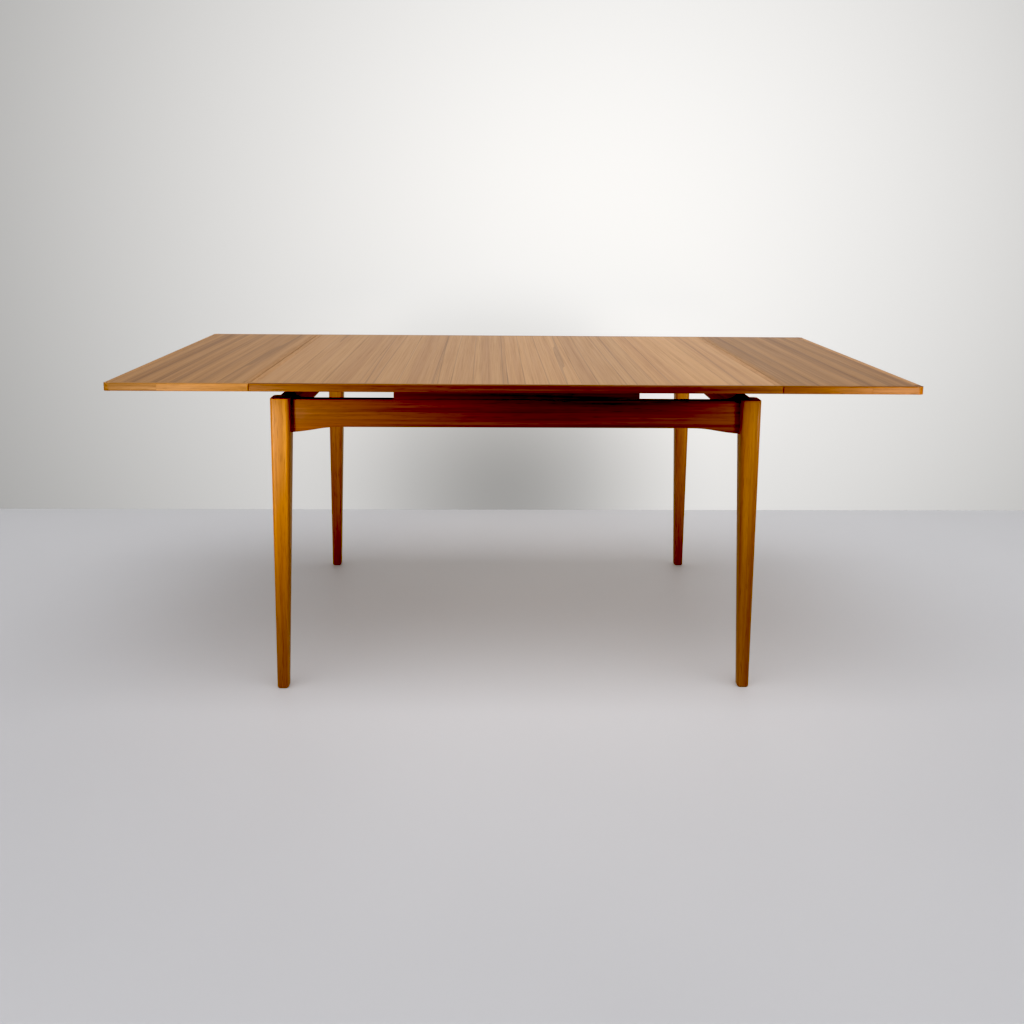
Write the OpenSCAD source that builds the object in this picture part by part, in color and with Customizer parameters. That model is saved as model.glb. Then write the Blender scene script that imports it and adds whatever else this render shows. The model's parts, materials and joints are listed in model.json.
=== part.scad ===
// Draw-leaf dining table: a loose main top over two leaves that pull out from
// under it on inclined runners. It is shown with both leaves drawn out.
// X runs along the table, Y from front to back and Z up, with the origin on
// the floor under the middle of the top.

/* [Table top] */
// Length of the fixed main top
top_l = 1200; // [1000:5:1600]
// Depth of the top, front to back
top_w = 850; // [700:5:1050]
// Height of the upper surface above the floor
table_h = 735; // [600:5:900]
// Thickness of the main top and of each leaf
top_t = 18; // [15:0.5:24]
// Thickness of the face and backing veneers
veneer_t = 0.9; // [0.6:0.1:1.5]
// Width of the solid lippings along the front and back
long_lipping_w = 10; // [6:1:20]
// Width of the solid lippings across the ends
end_lipping_w = 16; // [8:1:24]
// Radius of the outer arrises of the lippings
arris_r = 2; // [0.5:0.25:4]
// Radius of the arrises on both sides of a seam
seam_r = 1; // [0.25:0.25:2]

/* [Leaves] */
// Length of one leaf
leaf_l = 322; // [240:2:390]
// Radius of a leaf's outer corners in plan
leaf_corner_r = 25; // [18:1:60]
// Distance from a leaf's outer edge to the butt joint in its long lippings
corner_piece_l = 119; // [70:1:160]
// How far a stored leaf stands out past the main top
leaf_lip = 6; // [0:1:20]
// Gap at the seam between the main top and a leaf
seam_gap = 0.6; // [0.3:0.1:2]
// Clearance over and under a stored leaf
store_clear = 1; // [0.5:0.1:3]
// How far a leaf can be pulled on past its seam before its pegs stop it
overdraw = 12; // [6:1:20]

/* [Runners] */
// Width of a runner
runner_w = 22; // [16:1:30]
// Depth of a runner inside the frame
runner_d = 24; // [18:1:32]
// Distance of the right leaf's runners from the middle of the table
right_runner_y = 150; // [145:1:220]
// Distance of the left leaf's runners from the middle of the table
left_runner_y = 118; // [80:1:119]
// Distance from a leaf's outer edge to the outer end of its runners
runner_short = 52; // [30:1:90]
// Running clearance over and under a runner
run_clear = 0.4; // [0.3:0.1:1]
// Clearance on each side of a runner in its notch
side_clear = 0.8; // [0.4:0.1:2]
// Diameter of a stop peg
stop_peg_d = 8; // [6:0.5:12]
// How far a stop peg hangs below its runner
stop_peg_drop = 9; // [5:1:15]
// Length of a runner behind its stop peg
runner_tail = 12; // [8:1:30]

/* [Legs] */
// Side of a leg at the top, square
leg_w = 44; // [38:1:60]
// Side of a leg at the floor, square
foot_w = 27; // [22:1:40]
// Radius of the upright arrises of a leg
leg_r = 8; // [4:1:11]
// Overhang of the main top past the legs at each end
end_overhang = 40; // [20:1:80]
// Overhang of the main top past the legs at the front and back
side_overhang = 23; // [10:1:60]
// Length of the parallel stretch at the head of a leg
head_l = 85; // [80:1:120]
// Rounding at the top end of a leg
leg_top_round = 2; // [1:0.5:4]
// Rounding at the foot of a leg
foot_round = 4; // [2:0.5:6]

/* [Frame] */
// Thickness of the aprons
apron_t = 22; // [18:1:24]
// Depth of an apron over its straight middle
apron_d = 65; // [56:1:90]
// Length of the sweep at each end of an apron
sweep_l = 112; // [80:1:160]
// Radius of the sweep where it leaves the straight middle
sweep_r = 300; // [200:10:500]
// Steepest angle of the sweep
sweep_angle = 10.5; // [6:0.5:14]
// Angle of the sweep where it meets the leg
sweep_end_angle = 4.5; // [0:0.5:6]
// Set-back of the long aprons from the legs' outer faces
long_inset = 20; // [10:1:22]
// Set-back of the end aprons from the legs' outer faces
end_inset = 10; // [6:1:16]
// Drop of the aprons below the leg tops
apron_drop = 5; // [2:1:10]
// Thickness of the apron tenons
tenon_t = 9; // [7:0.5:10]
// Shoulder of a tenon above and below
tenon_shoulder = 10; // [6:1:14]
// Length of the end aprons' tenons
end_tenon_l = 24; // [18:1:28]
// Clearance around a tenon in its mortise
joint_clear = 0.2; // [0.1:0.05:0.4]
// Depth left empty behind the end of a tenon
glue_gap = 1; // [0.5:0.5:2]
// Wood left between the two mortises in a leg
mortise_web = 2; // [1:0.5:4]
// Distance of each cross rail from the end of the centre board
cross_rail_inset = 52; // [30:1:80]
// Thickness of a cross rail
cross_rail_t = 22; // [18:1:30]
// How much less deep the cross rails are than the aprons
cross_rail_short = 3; // [0:1:8]
// Length of the stub tenons on the cross rails
stub_l = 10; // [6:1:12]
// Gap between the centre board and a stored leaf
board_gap = 2; // [1:0.5:5]
// Set-back of the centre board's edges from the long aprons' faces
board_inset = 1; // [0:0.5:4]
// Length of the sides of a corner block
block_l = 70; // [55:1:90]
// Depth of a corner block
block_d = 40; // [30:1:48]
// Room left between a corner block and the leg, along the aprons
block_gap = 4; // [2:1:10]
// Depth of the counterbores for the screws in a corner block
block_sunk = 8; // [4:1:12]

/* [Pegs and screws] */
// Diameter of the pegs that locate the main top
peg_d = 16; // [12:1:22]
// Distance of the pegs from the middle of the table
peg_y = 260; // [200:5:280]
// Length of a peg below the centre board
peg_tip = 8; // [4:1:15]
// Depth of a peg in the main top
peg_socket = 10; // [6:1:12]
// Clearance around a peg in the centre board
peg_clear = 0.4; // [0.3:0.1:1]
// Shank diameter of the wood screws
screw_d = 4; // [3:0.5:5]
// Head diameter of the wood screws
screw_head_d = 8; // [7:0.5:10]
// Length of the screws that hold a leaf on its runners
leaf_screw_l = 25; // [22:1:28]
// Depth of those screws in the leaf
leaf_screw_bite = 11; // [8:0.5:12]
// Distance of the outer screws in a runner from the ends of its bearing on the leaf
leaf_screw_inset = 40; // [25:1:60]
// Length of the screws in the frame
frame_screw_l = 40; // [35:1:45]
// Distance of the outer screws in the long aprons from the cross rails
board_screw_inset = 70; // [30:1:100]
// Distance of the screws in the cross rails from the middle of the table
board_screw_y = 250; // [245:1:290]

/* [Hidden] */
$fn = 64;
eps = 0.5;
screw_fit = 0.1;
screw_slot = 1;
half_l = top_l / 2;
half_w = top_w / 2;
under_z = table_h - top_t;
leg_h = under_z - top_t - 2 * store_clear;
frame_z = leg_h - apron_drop;
board_t = under_z - frame_z;
leg_x = half_l - end_overhang;
leg_y = half_w - side_overhang;
apron_y = leg_y - long_inset;
apron_x = leg_x - end_inset;
board_x = half_l - leaf_l + leaf_lip - board_gap;
board_y = apron_y - board_inset;
leaf_x = half_l + seam_gap;
leaf_end = leaf_x + leaf_l;
stroke = leaf_x - board_x - board_gap;
slope = (top_t + store_clear) / stroke;
long_tenon_l = leg_w - end_inset - (apron_t + tenon_t) / 2 - glue_gap - joint_clear - mortise_web;
core_y = half_w - long_lipping_w;
cross_rail_x = board_x - cross_rail_inset;
cross_rail_d = apron_d - cross_rail_short;
peg_stop_x = cross_rail_x - cross_rail_t / 2 - overdraw - stop_peg_d / 2;
runner_in = peg_stop_x - runner_tail;
runner_out = leaf_end - runner_short;
head_h = (screw_head_d - screw_d) / 2;
runner_bearing = leaf_l - runner_short;
leaf_screws = [leaf_screw_inset, runner_bearing / 2, runner_bearing - leaf_screw_inset];
board_screws_x = [for (side = [-1, 0, 1]) side * (cross_rail_x - board_screw_inset)];
block_z = frame_z - apron_d / 2;
block_corner_x = apron_x - apron_t;
block_corner_y = apron_y - apron_t;
block_relief = max(0, block_corner_x - leg_x + leg_w) + max(0, block_corner_y - leg_y + leg_w) + block_gap;
block_long = block_relief + block_l;
block_mid = block_relief + block_l / 2;
block_screw_x = block_corner_x - block_mid;
block_screw_y = block_corner_y - block_l / 2 + block_sunk;
block_screw_end_y = block_corner_y - block_mid;
block_screw_end_x = block_corner_x - block_l / 2 + block_sunk;
teak = "peru";
teak_dark = "sienna";
teak_face = "burlywood";
beech = "wheat";
steel = "silver";

// Height of the line that the top of a runner follows at a distance x from the middle
function runner_top(x) = frame_z - run_clear + (x - board_x) * slope;

// Points of an arc about c, from angle a to angle b
function arc(c, r, a, b, n = 8) =
    [for (i = [0:n]) c + r * [cos(a + (b - a) * i / n), sin(a + (b - a) * i / n)]];

// Lower edge of one end of an apron: a round-over into a hollow, starting at [0, 0]
sweep_x1 = sweep_r * sin(sweep_angle);
sweep_z1 = sweep_r * (cos(sweep_angle) - 1);
hollow_r = (sweep_l - sweep_x1) / (sin(sweep_angle) - sin(sweep_end_angle));
sweep_points = concat(
    arc([0, -sweep_r], sweep_r, 90, 90 - sweep_angle),
    arc([sweep_x1 + hollow_r * sin(sweep_angle), sweep_z1 + hollow_r * cos(sweep_angle)],
        hollow_r, 270 - sweep_angle, 270 - sweep_end_angle));

// ---- Shared shapes ----

// A box given by its two opposite corners
module block(low, high) {
    translate(low) cube(high - low);
}

// What rounding takes off the upright edge at the origin of a body in the +X +Y quarter
module arris(l, r) {
    difference() {
        translate([-eps, -eps, -eps]) cube([r + eps, r + eps, l + 2 * eps]);
        translate([r, r, -2 * eps]) cylinder(h = l + 4 * eps, r = r);
    }
}

// The same along X, for a body that lies towards side_y and side_z
module arris_x(l, r, side_y, side_z) {
    mirror([0, side_y < 0 ? 1 : 0, 0])
        mirror([0, 0, side_z < 0 ? 1 : 0])
            rotate([90, 0, 90]) arris(l, r);
}

// The same along Y, for a body that lies towards side_x and side_z
module arris_y(l, r, side_x, side_z) {
    rotate([0, 0, 90]) arris_x(l, r, -side_x, side_z);
}

// The same along Z, for a body that lies towards side_x and side_y
module arris_z(l, r, side_x, side_y) {
    mirror([side_x < 0 ? 1 : 0, 0, 0])
        mirror([0, side_y < 0 ? 1 : 0, 0]) arris(l, r);
}

// Countersunk wood screw along +Z, with its slotted head's face at the origin
module screw(l) {
    difference() {
        union() {
            cylinder(h = head_h, d1 = screw_head_d, d2 = screw_d);
            cylinder(h = l, d = screw_d);
        }
        block([-screw_head_d, -screw_slot / 2, -eps], [screw_head_d, screw_slot / 2, head_h / 2]);
    }
}

// Hole for that screw, sunk by a counterbore of the given depth before its head
module screw_hole(l, sunk) {
    translate([0, 0, -sunk]) cylinder(h = sunk, d = screw_head_d + 2 * screw_fit);
    cylinder(h = head_h, d1 = screw_head_d + 2 * screw_fit, d2 = screw_d + 2 * screw_fit);
    cylinder(h = l + screw_fit, d = screw_d + 2 * screw_fit);
}

// ---- Legs ----

// One leg with its outer corner at the origin, standing in the +X +Y quarter
module leg() {
    color(teak) difference() {
        hull() for (i = [0, 1], j = [0, 1]) {
            translate(arris_centre(foot_w, i, j))
                cylinder(h = foot_round, r1 = leg_r - foot_round, r2 = leg_r, $fn = 32);
            translate(arris_centre(leg_w, i, j)) {
                translate([0, 0, leg_h - head_l])
                    cylinder(h = head_l - leg_top_round, r = leg_r, $fn = 32);
                translate([0, 0, leg_h - leg_top_round])
                    cylinder(h = leg_top_round, r1 = leg_r, r2 = leg_r - leg_top_round, $fn = 32);
            }
        }
        translate([leg_w - long_tenon_l - glue_gap, long_inset, 0])
            tenon(long_tenon_l + glue_gap + eps, joint_clear);
        translate([end_inset, leg_w - end_tenon_l - glue_gap, 0])
            mirror([1, -1, 0]) tenon(end_tenon_l + glue_gap + eps, joint_clear);
    }
}

// Centre of the rounding on one upright arris of a square leg
function arris_centre(side, i, j) =
    [i == 0 ? leg_r : side - leg_r, j == 0 ? leg_r : side - leg_r, 0];

// Tenon of an apron along +X from the origin, which is the apron's outer face, or its mortise
module tenon(l, clear) {
    side = (apron_t - tenon_t) / 2;
    block([0, side - clear, frame_z - apron_d + tenon_shoulder - clear],
        [l, apron_t - side + clear, frame_z - tenon_shoulder + clear]);
}

// Puts a leg's shape at one corner of the frame
module at_corner(side_x, side_y) {
    mirror([side_x > 0 ? 1 : 0, 0, 0])
        mirror([0, side_y > 0 ? 1 : 0, 0])
            translate([-leg_x, -leg_y, 0]) children();
}

// ---- Aprons ----

// Board of an apron, its length 2 * half between the legs, lying along X from y = 0
module apron_board(half) {
    flat = half - sweep_l;
    low = frame_z - apron_d;
    right = [for (p = sweep_points) [flat + p[0], low + p[1]]];
    left = [for (i = [len(right) - 1:-1:0]) [-right[i][0], right[i][1]]];
    translate([0, apron_t, 0]) rotate([90, 0, 0]) linear_extrude(apron_t)
        polygon(concat(left, right, [[half, frame_z], [-half, frame_z]]));
}

// Long apron at the front; the back one is its mirror image
module long_apron() {
    half = leg_x - leg_w;
    color(teak_dark) translate([0, -apron_y, 0]) difference() {
        union() {
            apron_board(half);
            for (side = [0, 1]) mirror([side, 0, 0]) translate([half, 0, 0]) tenon(long_tenon_l, 0);
        }
        for (side = [-1, 1]) translate([side * cross_rail_x, apron_t, 0])
            stub(stub_l + glue_gap, joint_clear);
        for (x = board_screws_x) translate([x, apron_t / 2, under_z])
            rotate([180, 0, 0]) screw_hole(frame_screw_l, eps);
        for (side = [-1, 1]) mirror([side < 0 ? 1 : 0, 0, 0])
            translate([block_screw_x, apron_y - block_screw_y, block_z])
                rotate([90, 0, 0]) screw_hole(frame_screw_l, 0);
    }
}

// Stub tenon of a cross rail, or its mortise, reaching back from the apron's inner face
module stub(l, clear) {
    side = cross_rail_t / 4;
    block([-side - clear, -l, frame_z - cross_rail_d + tenon_shoulder - clear],
        [side + clear, eps, frame_z - tenon_shoulder + clear]);
}

// End apron on the right; runner_y says where its own leaf's runners pass
module end_apron(runner_y) {
    half = leg_y - leg_w;
    color(teak_dark) difference() {
        union() {
            translate([apron_x, 0, 0]) rotate([0, 0, 90]) apron_board(half);
            for (side = [-1, 1]) mirror([0, side < 0 ? 1 : 0, 0])
                translate([apron_x, half, 0]) mirror([1, -1, 0])
                    mirror([0, 1, 0]) tenon(end_tenon_l, 0);
        }
        runner_notches(runner_y, apron_x - apron_t - eps, apron_x + eps);
        for (side = [-1, 1]) translate([block_screw_end_x, side * block_screw_end_y, block_z])
            rotate([0, 90, 0]) screw_hole(frame_screw_l, 0);
    }
}

// Channels for a pair of runners between x0 and x1, open at the top
module runner_notches(runner_y, x0, x1) {
    half = runner_w / 2 + side_clear;
    low = runner_d + 2 * run_clear;
    for (side = [-1, 1]) translate([0, side * runner_y + half, 0]) rotate([90, 0, 0])
        linear_extrude(2 * half)
            polygon([[x0, runner_top(x0) - low + run_clear], [x1, runner_top(x1) - low + run_clear],
                [x1, leg_h + eps], [x0, leg_h + eps]]);
}

// ---- Inside the frame ----

// Cross rail on the right, notched for its own leaf's runners
module cross_rail(runner_y) {
    x0 = cross_rail_x - cross_rail_t / 2;
    x1 = cross_rail_x + cross_rail_t / 2;
    y = apron_y - apron_t;
    color(beech) difference() {
        union() {
            block([x0, -y, frame_z - cross_rail_d], [x1, y, frame_z]);
            for (side = [0, 1]) mirror([0, side, 0])
                translate([cross_rail_x, -y, 0]) stub(stub_l, 0);
        }
        runner_notches(runner_y, x0 - eps, x1 + eps);
        for (side = [-1, 1]) translate([cross_rail_x, side * board_screw_y, under_z])
            rotate([180, 0, 0]) screw_hole(frame_screw_l, eps);
    }
}

module centre_board() {
    color(teak_dark) difference() {
        block([-board_x, -board_y, frame_z], [board_x, board_y, under_z]);
        for (side = [-1, 1]) translate([0, side * peg_y, frame_z - eps])
            cylinder(h = board_t + 2 * eps, d = peg_d + 2 * peg_clear);
        board_screw_places() screw_hole(frame_screw_l, eps);
    }
}

// Puts a screw at each place where the centre board is fixed
module board_screw_places() {
    for (x = board_screws_x, side = [-1, 1])
        translate([x, side * (apron_y - apron_t / 2), under_z]) rotate([180, 0, 0]) children();
    for (x = [-cross_rail_x, cross_rail_x], side = [-1, 1])
        translate([x, side * board_screw_y, under_z]) rotate([180, 0, 0]) children();
}

module centre_board_screws() {
    color(steel) board_screw_places() screw(frame_screw_l);
}

// Corner block at the back right, a triangle that bridges the aprons behind the leg;
// the others are its mirror images
module corner_block() {
    x = block_corner_x;
    y = block_corner_y;
    color(beech) difference() {
        translate([0, 0, block_z - block_d / 2]) linear_extrude(block_d)
            polygon([[x - block_long, y], [x - block_relief, y],
                [x, y - block_relief], [x, y - block_long]]);
        corner_block_screw_places() screw_hole(frame_screw_l, block_l);
    }
}

module corner_block_screw_places() {
    translate([block_screw_x, block_screw_y, block_z]) rotate([-90, 0, 0]) children();
    translate([block_screw_end_x, block_screw_end_y, block_z]) rotate([0, 90, 0]) children();
}

module at_block(side_x, side_y) {
    mirror([side_x < 0 ? 1 : 0, 0, 0]) mirror([0, side_y < 0 ? 1 : 0, 0]) children();
}

module corner_block_screws() {
    color(steel) for (side_x = [-1, 1], side_y = [-1, 1])
        at_block(side_x, side_y) corner_block_screw_places() screw(frame_screw_l);
}

// ---- Main top ----

module main_top_core() {
    color(beech) difference() {
        block([end_lipping_w - half_l, -core_y, under_z + veneer_t],
            [half_l - end_lipping_w, core_y, table_h - veneer_t]);
        peg_sockets();
    }
}

module peg_sockets() {
    for (side = [-1, 1]) translate([0, side * peg_y, under_z - eps])
        cylinder(h = peg_socket + eps + joint_clear, d = peg_d + 2 * screw_fit);
}

module main_top_face_veneer() {
    color(teak_face) block([end_lipping_w - half_l, -core_y, table_h - veneer_t],
        [half_l - end_lipping_w, core_y, table_h]);
}

module main_top_back_veneer() {
    color(teak_dark) difference() {
        block([end_lipping_w - half_l, -core_y, under_z],
            [half_l - end_lipping_w, core_y, under_z + veneer_t]);
        peg_sockets();
    }
}

// Front lipping between x0 and x1, rounded at each end that is a seam
module long_lipping(x0, x1, seam0, seam1) {
    color(teak) difference() {
        block([x0, -half_w, under_z], [x1, -core_y, table_h]);
        translate([x0, -half_w, under_z]) arris_x(x1 - x0, arris_r, 1, 1);
        translate([x0, -half_w, table_h]) arris_x(x1 - x0, arris_r, 1, -1);
        if (seam0) lipping_end(x0, 1);
        if (seam1) lipping_end(x1, -1);
    }
}

// Rounding of a long lipping's end at x, for a body that lies towards side
module lipping_end(x, side) {
    translate([x, -half_w, under_z]) arris_z(top_t, arris_r, side, 1);
    translate([x, -half_w, under_z]) arris_y(long_lipping_w, seam_r, side, 1);
    translate([x, -half_w, table_h]) arris_y(long_lipping_w, seam_r, side, -1);
}

// Lipping across an end, between x0 and x1, whose outer edge is at x1
module end_lipping(x0, x1, half, r) {
    color(teak) difference() {
        block([x0, -half, under_z], [x1, half, table_h]);
        translate([x1, -half, under_z]) arris_y(2 * half, r, -1, 1);
        translate([x1, -half, table_h]) arris_y(2 * half, r, -1, -1);
    }
}

// Peg that locates the main top on the centre board, at the back
module locating_peg() {
    tip = peg_d / 6;
    color(beech) translate([0, peg_y, 0]) {
        translate([0, 0, frame_z - peg_tip + tip])
            cylinder(h = board_t + peg_tip - tip + peg_socket, d = peg_d);
        translate([0, 0, frame_z - peg_tip]) cylinder(h = tip, d1 = peg_d - 2 * tip, d2 = peg_d);
    }
}

// ---- Leaves, all drawn for the right-hand leaf ----

module leaf_core(runner_y) {
    color(beech) difference() {
        block([leaf_x + end_lipping_w, -core_y, under_z + veneer_t],
            [leaf_end - end_lipping_w, core_y, table_h - veneer_t]);
        leaf_screw_places(runner_y) screw_hole(leaf_screw_l, 0);
    }
}

module leaf_face_veneer() {
    color(teak_face) block([leaf_x + end_lipping_w, -core_y, table_h - veneer_t],
        [leaf_end - end_lipping_w, core_y, table_h]);
}

module leaf_back_veneer(runner_y) {
    color(teak_dark) difference() {
        block([leaf_x + end_lipping_w, -core_y, under_z],
            [leaf_end - end_lipping_w, core_y, under_z + veneer_t]);
        leaf_screw_places(runner_y) screw_hole(leaf_screw_l, 0);
    }
}

module leaf_front_lipping() {
    long_lipping(leaf_x, leaf_end - corner_piece_l, true, false);
}

// Solid piece that turns a leaf's front outer corner
module leaf_front_corner() {
    r = leaf_corner_r;
    x = leaf_end - r;
    difference() {
        union() {
            long_lipping(leaf_end - corner_piece_l, x, false, false);
            color(teak) translate([x, r - half_w, 0]) rotate([0, 0, -90])
                rotate_extrude(angle = 90) corner_section(r);
        }
        block([x - eps, -core_y, under_z - eps], [leaf_end - end_lipping_w, half_w, table_h + eps]);
    }
}

// Section through a leaf's edge, from the corner's centre out to its rounded edge
module corner_section(r) {
    translate([0, under_z]) square([r - arris_r, top_t]);
    translate([0, under_z + arris_r]) square([r, top_t - 2 * arris_r]);
    for (z = [under_z + arris_r, table_h - arris_r]) translate([r - arris_r, z]) circle(arris_r);
}

module leaf_outer_lipping() {
    end_lipping(leaf_end - end_lipping_w, leaf_end, half_w - leaf_corner_r, arris_r);
}

module leaf_inner_lipping() {
    mirror([1, 0, 0]) end_lipping(-leaf_x - end_lipping_w, -leaf_x, core_y, seam_r);
}

// Runner of a leaf, side = -1 for the front one
module runner(runner_y, side) {
    y = side * runner_y + runner_w / 2;
    nose = runner_w / 3;
    color(beech) difference() {
        translate([0, y, 0]) rotate([90, 0, 0]) linear_extrude(runner_w) polygon([
            [runner_in, runner_top(runner_in)],
            [runner_in, runner_top(runner_in) - runner_d],
            [runner_out - nose, runner_top(runner_out - nose) - runner_d],
            [runner_out, under_z - nose / 2],
            [runner_out, under_z],
            [leaf_x, under_z],
            [leaf_x, runner_top(leaf_x)]]);
        leaf_screw_places(runner_y) screw_hole(leaf_screw_l, runner_d + top_t);
        translate([peg_stop_x, side * runner_y, frame_z - 2 * runner_d])
            cylinder(h = 3 * runner_d, d = stop_peg_d + 2 * screw_fit);
    }
}

// Puts a screw at each place where a leaf is fixed on its runners
module leaf_screw_places(runner_y) {
    for (x = leaf_screws, side = [-1, 1])
        translate([leaf_x + x, side * runner_y, under_z + leaf_screw_bite - leaf_screw_l])
            children();
}

module leaf_runner_screws(runner_y) {
    color(steel) leaf_screw_places(runner_y) screw(leaf_screw_l);
}

// Pegs that hang below the runners' inner ends and stop them at the cross rail
module leaf_stop_pegs(runner_y) {
    low = runner_top(peg_stop_x) - runner_d - stop_peg_drop;
    high = runner_top(peg_stop_x - stop_peg_d);
    color(beech) for (side = [-1, 1])
        translate([peg_stop_x, side * runner_y, low]) cylinder(h = high - low, d = stop_peg_d);
}

module flip_x() {
    mirror([1, 0, 0]) children();
}

module flip_y() {
    mirror([0, 1, 0]) children();
}

at_corner(-1, -1) leg();  // front_left_leg
at_corner(1, -1) leg();  // front_right_leg
at_corner(-1, 1) leg();  // back_left_leg
at_corner(1, 1) leg();  // back_right_leg
long_apron();  // front_apron
flip_y() long_apron();  // back_apron
flip_x() end_apron(left_runner_y);  // left_end_apron
end_apron(right_runner_y);  // right_end_apron
flip_x() cross_rail(left_runner_y);  // left_cross_rail
cross_rail(right_runner_y);  // right_cross_rail
centre_board();
at_block(-1, -1) corner_block();  // front_left_corner_block
at_block(1, -1) corner_block();  // front_right_corner_block
at_block(-1, 1) corner_block();  // back_left_corner_block
at_block(1, 1) corner_block();  // back_right_corner_block
corner_block_screws();
centre_board_screws();
main_top_core();
main_top_face_veneer();
main_top_back_veneer();
long_lipping(-half_l, half_l, true, true);  // main_top_front_lipping
flip_y() long_lipping(-half_l, half_l, true, true);  // main_top_back_lipping
flip_x() end_lipping(half_l - end_lipping_w, half_l, core_y, seam_r);  // main_top_left_lipping
end_lipping(half_l - end_lipping_w, half_l, core_y, seam_r);  // main_top_right_lipping
flip_y() locating_peg();  // front_locating_peg
locating_peg();  // back_locating_peg
flip_x() leaf_core(left_runner_y);  // left_leaf_core
flip_x() leaf_face_veneer();  // left_leaf_face_veneer
flip_x() leaf_back_veneer(left_runner_y);  // left_leaf_back_veneer
flip_x() leaf_front_lipping();  // left_leaf_front_lipping
flip_x() flip_y() leaf_front_lipping();  // left_leaf_back_lipping
flip_x() leaf_front_corner();  // left_leaf_front_corner
flip_x() flip_y() leaf_front_corner();  // left_leaf_back_corner
flip_x() leaf_outer_lipping();  // left_leaf_outer_lipping
flip_x() leaf_inner_lipping();  // left_leaf_inner_lipping
flip_x() runner(left_runner_y, -1);  // left_leaf_front_runner
flip_x() runner(left_runner_y, 1);  // left_leaf_back_runner
flip_x() leaf_runner_screws(left_runner_y);  // left_leaf_runner_screws
flip_x() leaf_stop_pegs(left_runner_y);  // left_leaf_stop_pegs
leaf_core(right_runner_y);  // right_leaf_core
leaf_face_veneer();  // right_leaf_face_veneer
leaf_back_veneer(right_runner_y);  // right_leaf_back_veneer
leaf_front_lipping();  // right_leaf_front_lipping
flip_y() leaf_front_lipping();  // right_leaf_back_lipping
leaf_front_corner();  // right_leaf_front_corner
flip_y() leaf_front_corner();  // right_leaf_back_corner
leaf_outer_lipping();  // right_leaf_outer_lipping
leaf_inner_lipping();  // right_leaf_inner_lipping
runner(right_runner_y, -1);  // right_leaf_front_runner
runner(right_runner_y, 1);  // right_leaf_back_runner
leaf_runner_screws(right_runner_y);  // right_leaf_runner_screws
leaf_stop_pegs(right_runner_y);  // right_leaf_stop_pegs
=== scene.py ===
"""Looks of a draw-leaf teak table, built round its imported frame."""

import json
import logging
import math
from collections.abc import Callable
from dataclasses import dataclass
from enum import Enum

import bpy
from mathutils import Matrix, Vector


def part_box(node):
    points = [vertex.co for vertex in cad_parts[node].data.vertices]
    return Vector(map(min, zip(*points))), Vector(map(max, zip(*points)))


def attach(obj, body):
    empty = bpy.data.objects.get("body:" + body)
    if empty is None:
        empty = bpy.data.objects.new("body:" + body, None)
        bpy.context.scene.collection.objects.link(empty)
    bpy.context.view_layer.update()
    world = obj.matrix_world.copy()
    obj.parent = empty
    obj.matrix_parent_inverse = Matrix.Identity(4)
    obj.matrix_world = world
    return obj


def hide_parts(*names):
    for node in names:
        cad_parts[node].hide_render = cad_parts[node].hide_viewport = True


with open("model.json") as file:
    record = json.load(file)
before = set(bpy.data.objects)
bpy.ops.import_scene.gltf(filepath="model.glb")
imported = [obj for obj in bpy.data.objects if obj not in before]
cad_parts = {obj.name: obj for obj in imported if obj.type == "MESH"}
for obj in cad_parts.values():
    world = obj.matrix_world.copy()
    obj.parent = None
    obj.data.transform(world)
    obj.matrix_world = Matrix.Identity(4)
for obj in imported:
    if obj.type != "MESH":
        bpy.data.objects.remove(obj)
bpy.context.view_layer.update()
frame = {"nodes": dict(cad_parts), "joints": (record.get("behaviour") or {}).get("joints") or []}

MM = 0.001
NEAR = 0.05 * MM

log = logging.getLogger("table")

Colour = tuple[float, float, float, float]
Test = Callable[[Vector], bool]


class Axis(Enum):
    """The three ways that grain or a board can run."""

    X = 0
    Y = 1
    Z = 2


# ---- Nodes ----


def linear(code: str) -> Colour:
    """Turns an sRGB colour to linear.

    Args:
        code: The colour as #rrggbb.

    Returns:
        Red, green, blue and an alpha of 1.
    """
    channels = [int(code[i : i + 2], 16) / 255 for i in (1, 3, 5)]
    red, green, blue = (c / 12.92 if c <= 0.04045 else ((c + 0.055) / 1.055) ** 2.4 for c in channels)
    return red, green, blue, 1.0


def add(
    tree: bpy.types.NodeTree,
    kind: str,
    inputs: dict[str | int, object] | None = None,
    **settings: object,
) -> bpy.types.Node:
    """Adds a node with its settings and links.

    Args:
        tree: The node tree that gets it.
        kind: Blender's name for the node type.
        inputs: A value, or the socket to link, for each input by name or number.
        **settings: The node's own settings.

    Returns:
        The new node.
    """
    node = tree.nodes.new(kind)
    for name, value in settings.items():
        setattr(node, name, value)
    for name, value in (inputs or {}).items():
        if isinstance(value, bpy.types.NodeSocket):
            tree.links.new(value, node.inputs[name])
        else:
            node.inputs[name].default_value = value
    return node


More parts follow.
